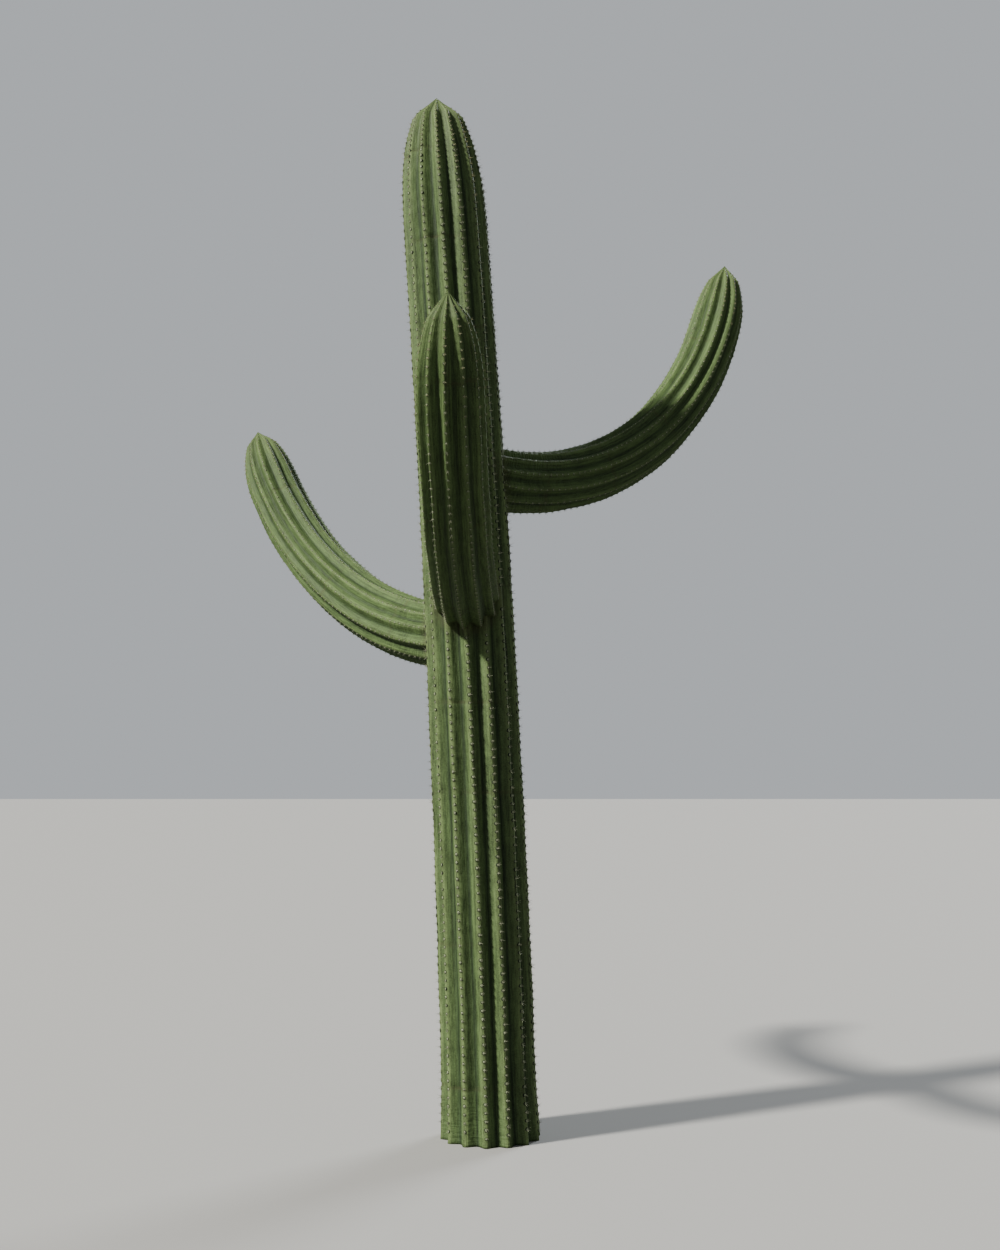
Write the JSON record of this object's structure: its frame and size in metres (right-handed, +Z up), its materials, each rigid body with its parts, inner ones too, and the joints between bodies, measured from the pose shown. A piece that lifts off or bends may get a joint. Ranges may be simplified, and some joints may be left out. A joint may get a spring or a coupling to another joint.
{
  "type": "saguaro cactus plant",
  "caption": "Tall ribbed column cactus rooted in the ground, leaning slightly, with curved arms that leave its sides and front and turn up to pointed, ribbed tips.",
  "frame": {"origin": "middle of the flat cut under the trunk, at ground level", "axes": "+Z up, -Y towards the front of the plant, where the front arm grows, +X towards the arm that leaves highest"},
  "size_m": [3.5761, 3.8318, 6.34],
  "materials": {
    "trunk_skin": "satin, waxy green skin over woody ribs",
    "arm_skin": "satin, waxy green skin, younger and paler in its grooves"
  },
  "bodies": {
    "root": {"trunk": "trunk_skin", "left_arm_elbow": "arm_skin", "left_arm_upright": "arm_skin", "right_arm_elbow": "arm_skin", "right_arm_upright": "arm_skin", "front_arm_elbow": "arm_skin", "front_arm_upright": "arm_skin"}
  },
  "joints": []
}
